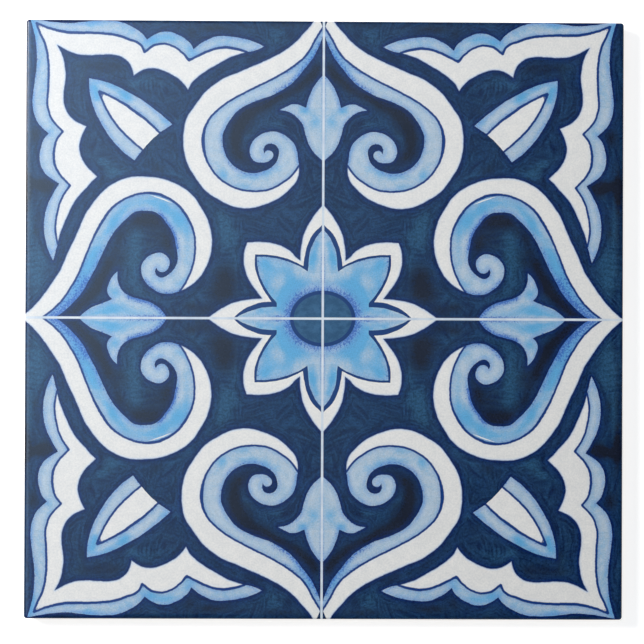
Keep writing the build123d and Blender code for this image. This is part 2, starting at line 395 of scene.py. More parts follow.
glazeMesh = {
    "outlineStep": 0.5,  # spacing of points along the ornament's edges
    "lineStep": 0.12,  # and along the cobalt lines, only to measure from
    "besideStep": 0.28,  # rows of points beside each edge, which hold the distance to it
    "besideClear": 0.85,  # share of that step that they keep from other edges
    "fieldStep": 0.78,  # spacing of the points in open fields
    "fieldClear": 0.75,  # share of that step that they keep from the edges
    "fieldRow": 0.87,  # distance of the field's rows, as a share of its step
    "fieldFrom": 0.5,  # first row and column, from the middle
    "fieldPast": 1.5,  # how far the field runs past the tile's edge, as the print is shifted
    "rimStep": 0.8,  # spacing of points round the tile's outline
    "rollInsets": (0.0, 0.04, 0.14, 0.29, 0.44, 0.6),  # rings down the rolled edge
    "rollRadius": 0.6,
    "cornerRadius": 0.8,
    "cornerSteps": 6,
    "leastRadius": 0.15,  # of the rings' corners
    "rimClear": 0.25,  # bare width inside the roll
    "weld": 1e-4,  # points closer than this are one
}

curves = {name: handDrawn(name, glazeMesh["outlineStep"]) for name in ornamentRuns}
discWide, discHigh = printing["discWide"]
curves["discEdge"] = quarterEllipse(discWide, discHigh, glazeMesh["outlineStep"])
curves["discInk"] = quarterEllipse(
    discWide - printing["discRing"], discHigh - printing["discRing"], glazeMesh["outlineStep"]
)


def closedOutline(names):
    parts = []
    for name in names:
        curve = curves[name.lstrip("-")]
        if name.startswith("-"):
            curve = curve[::-1]
        parts.append(curve[:-1])
    parts.append(curve[-1:])
    if names[0].startswith("flower"):
        parts.append([(0, 0)])  # a quarter of the flower closes at the middle
    outline = np.vstack(parts)
    if np.allclose(outline[0], outline[-1]):
        outline = outline[:-1]
    return outline


def roundedSquare(half, radius, spacing, cornerSteps):
    # Anticlockwise from the lower end of the right side
    side = max(1, round(2 * (half - radius) / spacing))
    along = np.linspace(radius - half, half - radius, side + 1)
    turn = np.linspace(0, math.pi / 2, cornerSteps + 1)[1:-1]
    quarter = np.vstack([
        np.column_stack([np.full(side + 1, half), along]),
        np.column_stack([half - radius + radius * np.cos(turn), half - radius + radius * np.sin(turn)]),
    ])
    parts = [quarter]
    for _ in range(3):
        quarter = np.column_stack([-quarter[:, 1], quarter[:, 0]])
        parts.append(quarter)
    return np.vstack(parts)


def insetFromEdge(x, y, half, radius):
    # How far inside a rounded square a point is
    qx = np.abs(x) - (half - radius)
    qy = np.abs(y) - (half - radius)
    outside = np.hypot(np.maximum(qx, 0), np.maximum(qy, 0))
    return radius - outside - np.minimum(np.maximum(qx, qy), 0)


def nearest(points, targets):
    # Distance to the closest target, and which it is
    tree = KDTree(len(targets))
    for i, (x, y) in enumerate(targets):
        tree.insert((x, y, 0.0), i)
    tree.balance()
    found = [tree.find((x, y, 0.0)) for x, y in points]
    return np.array([f[2] for f in found]), np.array([f[1] for f in found])


def paintedFace():
    # Cuts the tile's face along the ornament: points, triangles, and the pigment of each triangle
    half = faceSide / 2
    corner = glazeMesh["cornerRadius"]
    shiftX, shiftY = printing["shift"]
    outlines = [(pigment, closedOutline(names)) for pigment, names in ornamentShapes]
    for pigment, name in (("ink", "discEdge"), ("disc", "discInk")):
        outlines.append((pigment, np.vstack([curves[name], [(0, 0)]])))

    # Points beside the edges, and a field of points in the open
    edges = np.vstack(list(curves.values()))
    beside = []
    for curve in curves.values():
        across, _ = sideways(curve)
        for side in (-1, 1):
            beside.append(curve + side * glazeMesh["besideStep"] * across)
    beside = np.vstack(beside)
    gap, _ = nearest(beside, edges)
    beside = beside[gap > glazeMesh["besideClear"] * glazeMesh["besideStep"]]
    step = glazeMesh["fieldStep"]
    start, end = glazeMesh["fieldFrom"], half + glazeMesh["fieldPast"]
    rows = np.arange(start, end, glazeMesh["fieldRow"] * step)
    field = np.array([(x + 0.5 * step * (row % 2), y) for row, y in enumerate(rows)
                      for x in np.arange(start, end, step)])
    gap, _ = nearest(field, edges)
    field = field[gap > glazeMesh["fieldClear"] * step]
    loose = np.vstack([beside, field])

    points = []
    faces = []
    owners = []

    def addLoop(loop, owner):
        area = np.sum(loop[:, 0] * np.roll(loop[:, 1], -1) - np.roll(loop[:, 0], -1) * loop[:, 1])
        if area < 0:
            loop = loop[::-1]
        faces.append(list(range(len(points), len(points) + len(loop))))
        points.extend(loop.tolist())
        owners.append(owner)

    addLoop(roundedSquare(half, corner, glazeMesh["rimStep"], glazeMesh["cornerSteps"]), "tile")
    for signX in (-1, 1):
        for signY in (-1, 1):
            flip = np.array([signX, signY])
            for pigment, outline in outlines:
                addLoop(outline * flip + (shiftX, shiftY), pigment)
            own = loose[(loose > printing["crossWide"]).all(1)] * flip + (shiftX, shiftY)
            inset = insetFromEdge(own[:, 0], own[:, 1], half, corner)
            points.extend(own[inset > glazeMesh["rollInsets"][-1] + glazeMesh["rimClear"]].tolist())
    wide = printing["crossWide"] / 2
    long = half + 1
    upright = (shiftX - wide, shiftX + wide, -long, long)
    level = (-long, long, shiftY - wide, shiftY + wide)
    for x0, x1, y0, y1 in (upright, level):
        addLoop(np.array([(x0, y0), (x1, y0), (x1, y1), (x0, y1)]), "cross")
    for inset in glazeMesh["rollInsets"][1:]:
        radius = max(corner - inset, glazeMesh["leastRadius"])
        addLoop(roundedSquare(half - inset, radius, glazeMesh["rimStep"], glazeMesh["cornerSteps"]), "ring")

    cut = delaunay_2d_cdt([Vector(p) for p in points], [], faces, 0, glazeMesh["weld"], True)
    coords = np.array([v[:] for v in cut[0]])
    triangles = []
    paints = []
    for triangle, sources in zip(cut[2], cut[5]):
        if 0 not in sources:
            continue
        triangles.append(triangle)
        painted = [source for source in sources if owners[source] not in ("tile", "ring")]
        paints.append(owners[max(painted)] if painted else "ground")
    used = np.unique(np.array(triangles))
    renumber = np.full(len(coords), -1)
    renumber[used] = np.arange(len(used))
    return coords[used], renumber[np.array(triangles)], paints


facePoints, faceTriangles, facePaints = paintedFace()
print("face cut along the ornament:", len(facePoints), "points,", len(faceTriangles), "triangles")


body = {
    # Heights above the back, and how far each level stands in from the face's outline
    "levels": (
        (5.7, 0.0), (4.95, 0.0), (4.2, 0.0), (3.2, 0.12), (2.2, 0.24), (1.2, 0.36), (0.4, 0.45), (0.0, 0.9),
    ),
    "pocketsAcross": 8,
    "pocketPitch": 17.95,
    "pocketWide": 14.75,  # at the mouth
    "pocketRadius": 1.6,
    "pocketDepth": 0.9,
    "pocketDraft": 0.63,  # how far the walls lean in by the floor
    "lip": 0.16,  # softened edge of each mouth
    "lipTurn": (0.02, 0.35),  # its middle: how far in, and which share of it down
    "mouthSteps": 4,  # points round each corner of a mouth
    "foot": (0.12, 0.25),  # how far the wall's foot is rounded, up the wall and into the floor
    "footDraft": 0.8,  # share of the draft above it
    "sharpAngle": 32,  # edges that turn more stay sharp, in degrees
    "cellWeld": 0.02,  # points of neighbouring pockets closer than this become one
    "rimSlack": 0.01,  # points this close to the pockets' outer border are on it
    "tileWeld": 0.002,  # points of face, flanks and back closer than this become one
}


def heightOfGlaze(inset):
    # The face is flat and rolls down over its last part
    radius = glazeMesh["rollRadius"]
    fall = radius - np.clip(inset, 0, radius)
    return faceHeight - radius + np.sqrt(radius ** 2 - fall ** 2)


def boundaryLoop(triangles):
    # The outline of a sheet of triangles, in order
    halfEdges = {(t[i], t[(i + 1) % 3]) for t in triangles.tolist() for i in range(3)}
    following = {a: b for a, b in halfEdges if (b, a) not in halfEdges}
    start = next(iter(following))
    loop = [start]
    while following[loop[-1]] != start:
        loop.append(following[loop[-1]])
    return loop


def drawnIn(outline, inset):
    # Moves an outline inwards and keeps its corner radius
    middle = faceSide / 2 - glazeMesh["cornerRadius"]
    nearer = np.clip(outline, -middle, middle)
    return nearer * (middle - inset) / middle + outline - nearer


def wash(places, spots):
    # Sum of soft elliptical strokes
    x, y = places.T
    total = np.zeros(len(x))
    for atX, atY, along, across, turn, strength in spots:
        c, s = math.cos(math.radians(turn)), math.sin(math.radians(turn))
        u = ((x - atX) * c + (y - atY) * s) / along
        v = ((y - atY) * c - (x - atX) * s) / across
        total += strength * np.exp(-(u * u + v * v))
    return np.clip(total, 0, 1)


def pencilled(places):
    # How dense the cobalt pencilling is, which runs beside stretches of the outlines
    dense = np.zeros(len(places))
    for name, start, end, reach, strength in pencilling:
        curve = curves[name]
        way = np.cumsum(np.linalg.norm(np.diff(curve, axis=0, prepend=curve[:1]), axis=1))
        way /= way[-1]
        stretch = curve[(way >= start) & (way <= end)]
        gap, _ = nearest(places, stretch)
        dense = np.maximum(dense, strength * np.exp(-(gap / reach) ** 2))
    return dense


def groundGap(places):
    # Distance to the closest edge between ornament and ground
    edges = [curve for name, curve in curves.items() if not any(word in name for word in innerRuns)]
    gap, _ = nearest(places, np.vstack(edges))
    return gap


def cobaltGap(places):
    # Distance to the rim of the closest cobalt line, less than nothing inside it
    line = np.vstack([handDrawn(name, glazeMesh["lineStep"]) for name in ornamentRuns if "Line" in name])
    wide = np.full(len(line), printing["lineWide"])
    for atX, atY, reach, extra in printing["lineSwells"]:
        wide += extra * np.exp(-((line[:, 0] - atX) ** 2 + (line[:, 1] - atY) ** 2) / reach ** 2)
    gap, which = nearest(places, line)
    return gap - wide[which] / 2


def plainMesh(name, points, faces):
    mesh = bpy.data.meshes.new(name)
    mesh.from_pydata(points, [], faces)
    mesh.update()
    return mesh


def addObject(name, data):
    thing = bpy.data.objects.new(name, data)
    bpy.context.scene.collection.objects.link(thing)
    return thing


def pocketCell():
    # One square of the keyed back with its pocket, seen from below, as rings from the outside in
    half = body["pocketWide"] / 2
    mouth = roundedSquare(half, body["pocketRadius"], faceSide, body["mouthSteps"])
    reach = np.abs(mouth).max(axis=1)[:, None]
    depth = body["pocketDepth"]
    footUp, footIn = body["foot"]
    lipIn, lipDown = body["lipTurn"]

    def shrunk(inset):
        return mouth * (half - inset) / half

    rings = [
        (mouth / reach * body["pocketPitch"] / 2, 0),
        (shrunk(-body["lip"]), 0),
        (shrunk(lipIn), lipDown * body["lip"]),
        (shrunk(body["footDraft"] * body["pocketDraft"]), depth - footUp),
        (shrunk(body["pocketDraft"] + footIn), depth),
    ]
    points = [(x * mm, y * mm, z * mm) for ring, z in rings for x, y in ring]
    around = len(mouth)
    faces = []
    for row in range(len(rings) - 1):
        for i in range(around):
            following = (i + 1) % around
            a, b = row * around + i, row * around + following
            faces.append((a, a + around, b + around, b))
    faces.append([len(points) - 1 - i for i in range(around)])
    return plainMesh("pocket cell", points, faces)


def addNode(tree, kind, inputs=None, **settings):
    node = tree.nodes.new(kind)
    for name, value in settings.items():
        setattr(node, name, value)
    for socket, value in (inputs or {}).items():
        if isinstance(value, bpy.types.NodeSocket):
            tree.links.new(value, node.inputs[socket])
        else:
            node.inputs[socket].default_value = value
    return node


def calc(tree, operation, *values):
    return addNode(tree, "ShaderNodeMath", operation=operation, inputs=dict(enumerate(values))).outputs[0]


def times(tree, a, b):
    return calc(tree, "MULTIPLY", a, b)


def timesPlus(tree, a, b, c):
    return calc(tree, "MULTIPLY_ADD", a, b, c)


def pocketGridTree():
    tree = bpy.data.node_groups.new("pocket grid", "GeometryNodeTree")
    for name, kind, way in (
        ("Geometry", "NodeSocketGeometry", "INPUT"), ("Pockets Across", "NodeSocketInt", "INPUT"),
        ("Pitch", "NodeSocketFloat", "INPUT"), ("Finish", "NodeSocketMaterial", "INPUT"),
        ("Geometry", "NodeSocketGeometry", "OUTPUT"),
    ):
        tree.interface.new_socket(name=name, in_out=way, socket_type=kind)
    source = tree.nodes.new("NodeGroupInput").outputs
    size = times(tree, calc(tree, "SUBTRACT", source["Pockets Across"], 1.0), source["Pitch"])
    grid = addNode(tree, "GeometryNodeMeshGrid", inputs={
        "Size X": size, "Size Y": size,
        "Vertices X": source["Pockets Across"], "Vertices Y": source["Pockets Across"],
    })
    pockets = addNode(tree, "GeometryNodeInstanceOnPoints", inputs={
        "Points": grid.outputs["Mesh"], "Instance": source["Geometry"],
    })
    real = addNode(tree, "GeometryNodeRealizeInstances", inputs={"Geometry": pockets.outputs["Instances"]})
    whole = addNode(tree, "GeometryNodeMergeByDistance", inputs={
        "Geometry": real.outputs["Geometry"], "Distance": body["cellWeld"] * mm,
    })
    finished = addNode(tree, "GeometryNodeSetMaterial", inputs={
        "Geometry": whole.outputs["Geometry"], "Material": source["Finish"],
    })
    addNode(tree, "NodeGroupOutput", inputs={"Geometry": finished.outputs["Geometry"]})
    return tree


def keyedBack(finish):
    # The pockets of the back as one plain mesh
    cell = addObject("pocket cell", pocketCell())
    modifier = cell.modifiers.new("pocket grid", "NODES")
    modifier.node_group = pocketGridTree()
    sockets = {s.name: s.identifier for s in modifier.node_group.interface.items_tree if s.in_out == "INPUT"}
    modifier[sockets["Pockets Across"]] = body["pocketsAcross"]
    modifier[sockets["Pitch"]] = body["pocketPitch"] * mm
    modifier[sockets["Finish"]] = finish
    grid = bpy.data.meshes.new_from_object(cell.evaluated_get(bpy.context.evaluated_depsgraph_get()))
    cell.modifiers.remove(modifier)
    bpy.data.objects.remove(cell)
    return grid


def tileMesh(finishes):
    # Face, rolled edge, flanks and keyed back as one closed mesh, its materials in the order of finishOrder
    inset = insetFromEdge(facePoints[:, 0], facePoints[:, 1], faceSide / 2, glazeMesh["cornerRadius"])
    points = np.column_stack([facePoints, heightOfGlaze(inset)]).tolist()
    faces = faceTriangles.tolist()
    kinds = [finishOrder.index(paint) for paint in facePaints]
    biscuit = finishOrder.index("biscuit")

    above = boundaryLoop(faceTriangles)
    outline = facePoints[above]
    for height, inset in body["levels"]:
        ring = drawnIn(outline, inset)
        below = list(range(len(points), len(points) + len(ring)))
        points.extend((x, y, height) for x, y in ring)
        for i in range(len(ring)):
            following = (i + 1) % len(ring)
            faces.append((below[i], below[following], above[following], above[i]))
            kinds.append(biscuit)
        above = below

    # The flat margin between the last ring and the pockets, then the pockets
    grid = keyedBack(finishes["biscuit"])
    gridPoints = np.array([v.co[:] for v in grid.vertices]) / mm
    gridFaces = [list(p.vertices) for p in grid.polygons]
    halfGrid = body["pocketsAcross"] * body["pocketPitch"] / 2
    onRim = np.abs(np.abs(gridPoints[:, :2]).max(axis=1) - halfGrid) < body["rimSlack"]
    rim = gridPoints[onRim][:, :2]
    rim = rim[np.argsort(np.arctan2(rim[:, 1], rim[:, 0]))]
    flat = [Vector(p) for p in ring] + [Vector(p) for p in rim]
    loops = [list(range(len(ring))), list(range(len(ring), len(flat)))]
    cut = delaunay_2d_cdt(flat, [], loops, 0, glazeMesh["weld"], True)
    first = len(points)
    points.extend((v.x, v.y, 0.0) for v in cut[0])
    for triangle, sources in zip(cut[2], cut[5]):
        if list(sources) == [0]:
            faces.append([first + i for i in reversed(triangle)])
            kinds.append(biscuit)
    first = len(points)
    points.extend(gridPoints.tolist())
    faces.extend([first + i for i in face] for face in gridFaces)
    kinds.extend([biscuit] * len(gridFaces))
    bpy.data.meshes.remove(grid)

    mesh = plainMesh("tile", (np.array(points) * mm).tolist(), faces)
    for name in finishOrder:
        mesh.materials.append(finishes[name])
    mesh.polygons.foreach_set("material_index", kinds)
    work = bmesh.new()
    work.from_mesh(mesh)
    bmesh.ops.remove_doubles(work, verts=work.verts, dist=body["tileWeld"] * mm)
    work.to_mesh(mesh)
    openEdges = sum(1 for edge in work.edges if len(edge.link_faces) != 2)
    work.free()
    print("tile mesh:", len(mesh.polygons), "faces,", openEdges, "edges without two faces")
    mesh.shade_smooth()
    mesh.set_sharp_from_angle(angle=math.radians(body["sharpAngle"]))
    return mesh


def addPaintingAttributes(mesh):
    # What the glaze materials follow, kept on the points in millimetres
    coords = np.empty(len(mesh.vertices) * 3)
    mesh.vertices.foreach_get("co", coords)
    coords = coords.reshape(-1, 3) / mm
    places = np.abs(coords[:, :2] - printing["shift"])
    spot = mesh.attributes.new("spot", "FLOAT_VECTOR", "POINT")
    spot.data.foreach_set("vector", np.column_stack([places, np.zeros(len(places))]).ravel())
    values = {"edgeGap": groundGap(places), "lineGap": cobaltGap(places), "stipple": pencilled(places)}
    for name, spots in washes.items():
        values[name] = wash(places, spots)
    for name, value in values.items():
        mesh.attributes.new(name, "FLOAT", "POINT").data.foreach_set("value", value)


def addBakeMap(mesh):
    # The face gets most of the map, the flanks four strips above it, the back a narrow column
    layout = {"face": 0.84, "strip": 0.0345, "stripStep": 0.0385, "backWide": 0.145, "gap": 0.004}
    back = {"up": 0.02, "below": 1.0 * mm, "reach": 75.6 * mm}  # lower and closer in lies the back
    side = faceSide * mm
    gap = layout["gap"]
    uv = mesh.uv_layers.new(name="OFBake")
    flat = np.empty(len(mesh.loops) * 2)
    normals = np.empty(len(mesh.polygons) * 3)
    mesh.polygons.foreach_get("normal", normals)
    normals = normals.reshape(-1, 3)
    for polygon, normal in zip(mesh.polygons, normals):
        centre = polygon.center
        if normal[2] > back["up"]:
            part = "face"
        elif centre.z < back["below"] and max(abs(centre.x), abs(centre.y)) < back["reach"]:
            part = "back"
        else:
            part = "flank"
            turn = int(np.argmax([normal[0], normal[1], -normal[0], -normal[1]]))
        for loop in polygon.loop_indices:
            x, y, z = mesh.vertices[mesh.loops[loop].vertex_index].co
            u, v = x / side + 0.5, y / side + 0.5
            if part == "face":
                at = (gap + u * layout["face"], gap + v * layout["face"])
            elif part == "back":
                at = (2 * gap + layout["face"] + (1 - u) * layout["backWide"], gap + v * layout["face"])
            else:
                along = (v, 1 - u, 1 - v, u)[turn]
                rise = z / (faceHeight * mm) * layout["strip"]
                strip = 2 * gap + layout["face"] + turn * layout["stripStep"]
                at = (gap + along * layout["face"], strip + rise)
            flat[2 * loop], flat[2 * loop + 1] = at
    uv.data.foreach_set("uv", flat)


# Colours as the photograph shows them under even light
colours = {
    "ground": (5, 30, 70),
    "groundTeal": (16, 44, 74),
    "pooled": (3, 31, 86),
    "deep": (16, 21, 38),
    "teal": (35, 75, 106),
    "streak": (38, 78, 115),
    "white": (237, 236, 233),
    "whiteDull": (213, 215, 216),
    "bite": (80, 112, 160),
    "halo": (186, 204, 230),
    "pale": (191, 203, 215),
    "paleDeep": (142, 178, 206),
    "sky": (94, 166, 212),
    "gathered": (98, 146, 204),
    "stipple": (36, 86, 176),
    "line": (20, 54, 118),
    "ink": (22, 52, 110),
    "ring": (16, 56, 104),
    "disc": (52, 94, 130),
    "discDeep": (34, 72, 106),
    "cross": (216, 224, 232),
    "crossDull": (170, 190, 212),
    "biscuit": (206, 188, 162),
    "biscuitDark": (172, 148, 120),
    "runGlaze": (24, 48, 86),
}


def paint(name):
    linear = [((c / 255 + 0.055) / 1.055) ** 2.4 if c > 10 else c / 255 / 12.92 for c in colours[name]]
    return (*linear, 1.0)


def vectorCalc(tree, operation, *values):
    node = addNode(tree, "ShaderNodeVectorMath", operation=operation, inputs=dict(enumerate(values)))
    return node.outputs[0]


def scaled(tree, vector, factor):
    node = addNode(tree, "ShaderNodeVectorMath", operation="SCALE", inputs={0: vector, "Scale": factor})
    return node.outputs[0]


def mixed(tree, factor, a, b):
    return addNode(tree, "ShaderNodeMix", inputs={0: factor, 2: a, 3: b}).outputs[0]


def between(tree, value, low, high, atLow=0.0, atHigh=1.0):
    # Smooth step from low to high
    node = addNode(tree, "ShaderNodeMapRange", interpolation_type="SMOOTHSTEP", inputs={
        "Value": value, "From Min": low, "From Max": high, "To Min": atLow, "To Max": atHigh,
    })
    return node.outputs["Result"]


def blended(tree, factor, a, b, blend="MIX"):
    # Mixes two colours, which may be names from the list above
    a, b = (paint(colour) if isinstance(colour, str) else colour for colour in (a, b))
    node = addNode(tree, "ShaderNodeMix", data_type="RGBA", blend_type=blend, inputs={0: factor, 6: a, 7: b})
    return node.outputs[2]


def noise(tree, vector, scale, detail=3.0, roughness=0.55):
    inputs = {"Vector": vector, "Scale": scale, "Detail": detail, "Roughness": roughness}
    return addNode(tree, "ShaderNodeTexNoise", inputs=inputs).outputs["Fac"]


def attribute(tree, name, output="Fac"):
    return addNode(tree, "ShaderNodeAttribute", attribute_name=name).outputs[output]


def shaderGroup(name, inputs, outputs):
    # A node group with named inputs (name: default) and outputs
    tree = bpy.data.node_groups.new(name, "ShaderNodeTree")
    for label, value in inputs.items():
        kind = "NodeSocketVector" if value == "vector" else "NodeSocketFloat"
        socket = tree.interface.new_socket(name=label, in_out="INPUT", socket_type=kind)
        if value != "vector":
            socket.default_value = value
    for label in outputs:
        tree.interface.new_socket(name=label, in_out="OUTPUT", socket_type="NodeSocketFloat")
    return tree, tree.nodes.new("NodeGroupInput").outputs


# Noises are (scale, detail, roughness). Fades go by distance in mm: (from, to, strength before and after)
brushwork = {
    "cloud": (0.3, 4.0, 0.62),
    "grain": (1.6, 3.0, 0.8),
    "stroke": (1.0, 2.0, 0.6),
    "strokePace": (0.13, 1.2),  # along and across a stroke in the open
    "strokeWander": 14.0,
    "edgePace": (0.2, 1.7),  # along and across the ornament's edges
    "edgeStrokes": (1.5, 4.0, 1.0, 0.0),
    "lineNoise": (1.4, 3.0, 0.7),
    "lineWobble": 0.12,
    "lineRim": (-0.08, 0.12, 1.0, 0.0),
    "lineHaze": (0.0, 0.9, 1.0, 0.0),
    "speckPace": 2.2,
    "speckLevel": (-0.33, 0.725),  # noise above it is a speck: change with cover, start
    "indigoRound": (0.55, 1.15, 0.92, 0.0),  # drawn round the ornament, and thinner beyond
    "indigoBeyond": (0.7, 2.2, 0.5, 0.0),
    "streaks": 0.45,
    "whiteHaze": (0.1, 0.7, 0.6, 0.0),
    "bite": (0.0, 0.32, 0.8, 0.0),
    "gathered": (0.1, 1.5, 0.75, 0.0),
    "pencil": 0.68,
    "dots": 0.72,
    "tooth": (3.2, 2.0, 0.8),
}


def brushMottleGroup():
    # Cloudy pigment, fine grain, and brush strokes that follow the ornament near its edges
    tree, given = shaderGroup(
        "brush mottle", {"Spot": "vector", "Gap": 0.0, "Size": 1.0}, ("Cloud", "Grain", "Streak")
    )
    spread = scaled(tree, given["Spot"], calc(tree, "DIVIDE", 1.0, given["Size"]))
    bend = addNode(tree, "ShaderNodeTexNoise", inputs={"Vector": spread, "Scale": 0.06, "Detail": 0.0})
    wander = brushwork["strokeWander"]
    bent = vectorCalc(tree, "MULTIPLY_ADD", bend.outputs["Color"], (wander, wander, 0.0), spread)
    cloud = between(tree, noise(tree, bent, *brushwork["cloud"]), 0.3, 0.7)
    grain = between(tree, noise(tree, spread, *brushwork["grain"]), 0.3, 0.7)
    along, across = brushwork["strokePace"]
    strokes = []
    for stretch in ((along, across, 0.0), (across, along, 0.0)):
        strokes.append(noise(tree, vectorCalc(tree, "MULTIPLY", bent, stretch), *brushwork["stroke"]))
    parts = addNode(tree, "ShaderNodeSeparateXYZ", inputs={0: spread}).outputs
    along, across = brushwork["edgePace"]
    beside = addNode(tree, "ShaderNodeCombineXYZ", inputs={
        0: times(tree, parts[0], along), 1: times(tree, parts[1], along),
        2: timesPlus(tree, given["Gap"], across, times(tree, cloud, 1.1)),
    }).outputs[0]
    turned = between(tree, noise(tree, spread, 0.16, 1.0), 0.42, 0.58)
    stroke = mixed(tree, turned, *strokes)
    close = between(tree, given["Gap"], *brushwork["edgeStrokes"])
    stroke = mixed(tree, close, stroke, noise(tree, beside, *brushwork["stroke"]))
    addNode(tree, "NodeGroupOutput", inputs={
        "Cloud": cloud, "Grain": grain, "Streak": between(tree, stroke, 0.32, 0.68),
    })
    return tree


def cobaltLineGroup():
    # The pencilled cobalt line, a little uneven, and the blue haze beside it
    tree, given = shaderGroup("cobalt line", {"Spot": "vector", "Gap": 0.0, "Wobble": 0.14}, ("Line", "Haze"))
    uneven = calc(tree, "SUBTRACT", noise(tree, given["Spot"], *brushwork["lineNoise"]), 0.5)
    gap = timesPlus(tree, uneven, times(tree, given["Wobble"], 2.0), given["Gap"])
    line = between(tree, gap, *brushwork["lineRim"])
    haze = between(tree, gap, *brushwork["lineHaze"])
    addNode(tree, "NodeGroupOutput", inputs={"Line": line, "Haze": haze})
    return tree


def drySpeckGroup():
    # Dots of dry pigment: the more of them, the higher the cover
    tree, given = shaderGroup("dry specks", {"Spot": "vector", "Cover": 0.5, "Size": 1.0}, ("Specks",))
    pace = calc(tree, "DIVIDE", brushwork["speckPace"], given["Size"])
    dots = noise(tree, given["Spot"], pace, 2.0, 0.7)
    level = timesPlus(tree, given["Cover"], *brushwork["speckLevel"])
    specks = between(tree, calc(tree, "SUBTRACT", dots, level), -0.05, 0.07)
    addNode(tree, "NodeGroupOutput", inputs={"Specks": specks})
    return tree


glazeSkin = {
    "wave": 0.5,
    "pits": 0.2,
    "bump": 0.25,
    "bumpHeight": 0.02 * mm,
    "roughness": (0.17, 0.21),
}


def glazeSkinGroup():
    # Slight waviness and pinholes of the fired glaze
    tree, given = shaderGroup("glaze skin", {"Wave": 0.5, "Pits": 0.3}, ("Height", "Roughness"))
    place = addNode(tree, "ShaderNodeTexCoord").outputs["Object"]
    wave = noise(tree, place, 160.0, 2.0, 0.5)
    fine = noise(tree, place, 1500.0, 3.0, 0.6)
    cells = addNode(tree, "ShaderNodeTexVoronoi", inputs={"Vector": place, "Scale": 420.0})
    height = timesPlus(tree, fine, 0.06, times(tree, wave, given["Wave"]))
    height = timesPlus(tree, between(tree, cells.outputs["Distance"], 0.03, 0.1), given["Pits"], height)
    roughness = between(tree, noise(tree, place, 90.0, 4.0, 0.6), 0.3, 0.7, *glazeSkin["roughness"])
    addNode(tree, "NodeGroupOutput", inputs={"Height": height, "Roughness": roughness})
    return tree


def placed(tree, group, inputs):
    return addNode(tree, "ShaderNodeGroup", node_tree=groups[group], inputs=inputs).outputs


def newMaterial(name):
    material = bpy.data.materials.new(name)
    material.use_nodes = True
    tree = material.node_tree
    tree.nodes.clear()
    shader = addNode(tree, "ShaderNodeBsdfPrincipled")
    addNode(tree, "ShaderNodeOutputMaterial", inputs={"Surface": shader.outputs[0]})
    return material, tree, shader


def addBump(tree, shader, strength, distance, height):
    inputs = {"Strength": strength, "Distance": distance, "Height": height}
    bump = addNode(tree, "ShaderNodeBump", inputs=inputs)
    tree.links.new(bump.outputs[0], shader.inputs["Normal"])


def finishGlaze(tree, shader, colour):
    # Fired glaze over the painted colour
    skin = placed(tree, "skin", {"Wave": glazeSkin["wave"], "Pits": glazeSkin["pits"]})
    tree.links.new(colour, shader.inputs["Base Color"])
    tree.links.new(skin["Roughness"], shader.inputs["Roughness"])
    addBump(tree, shader, glazeSkin["bump"], glazeSkin["bumpHeight"], skin["Height"])


def groundFinish():
    material, tree, shader = newMaterial("indigo ground wash")
    spot = attribute(tree, "spot", "Vector")
    gap = attribute(tree, "edgeGap")
    brush = placed(tree, "mottle", {"Spot": spot, "Gap": gap, "Size": 1.0})
    uneven = timesPlus(tree, brush["Streak"], 0.3, timesPlus(tree, brush["Cloud"], 0.3, -0.3))
    tealWash = between(tree, calc(tree, "ADD", attribute(tree, "teal"), uneven), 0.0, 1.0)
    deepWash = between(tree, calc(tree, "ADD", attribute(tree, "deep"), uneven), 0.05, 1.0)
    colour = blended(tree, times(tree, brush["Cloud"], 0.6), "ground", "groundTeal")
    colour = blended(tree, tealWash, colour, "teal")
    colour = blended(tree, times(tree, brush["Streak"], brushwork["streaks"]), colour, "streak")
    colour = blended(tree, deepWash, colour, "deep")
    # Indigo drawn round the ornament, and a thinner wash of it beyond
    ragged = timesPlus(tree, brush["Grain"], 0.35, gap)
    drawn = between(tree, ragged, *brushwork["indigoRound"])
    beyond = times(tree, between(tree, gap, *brushwork["indigoBeyond"]), brush["Streak"])
    colour = blended(tree, calc(tree, "MAXIMUM", drawn, beyond), colour, "pooled")
    grain = timesPlus(tree, brush["Grain"], 0.8, timesPlus(tree, brush["Streak"], 0.2, 0.48))
    finishGlaze(tree, shader, scaled(tree, colour, grain))
    return material


def whiteFinish():
    material, tree, shader = newMaterial("white slip")
    spot = attribute(tree, "spot", "Vector")
    gap = attribute(tree, "edgeGap")
    lineGap = attribute(tree, "lineGap")
    brush = placed(tree, "mottle", {"Spot": spot, "Gap": 0.0, "Size": 0.8})
    line = placed(tree, "line", {"Spot": spot, "Gap": lineGap, "Wobble": brushwork["lineWobble"]})
    tooth = timesPlus(tree, brush["Grain"], 0.7, times(tree, brush["Cloud"], 0.3))
    colour = blended(tree, tooth, "whiteDull", "white")
    besideGround = between(tree, gap, *brushwork["whiteHaze"])
    haze = calc(tree, "MAXIMUM", times(tree, line["Haze"], 0.25), besideGround)
    colour = blended(tree, haze, colour, "halo")
    # The ground bites a little into the white
    bite = placed(tree, "specks", {"Spot": spot, "Cover": between(tree, gap, 0.0, 0.34), "Size": 1.5})
    bitten = between(tree, timesPlus(tree, bite["Specks"], 0.35, gap), *brushwork["bite"])
    colour = blended(tree, bitten, colour, "bite")
    colour = blended(tree, line["Line"], colour, "line")
    finishGlaze(tree, shader, colour)
    return material


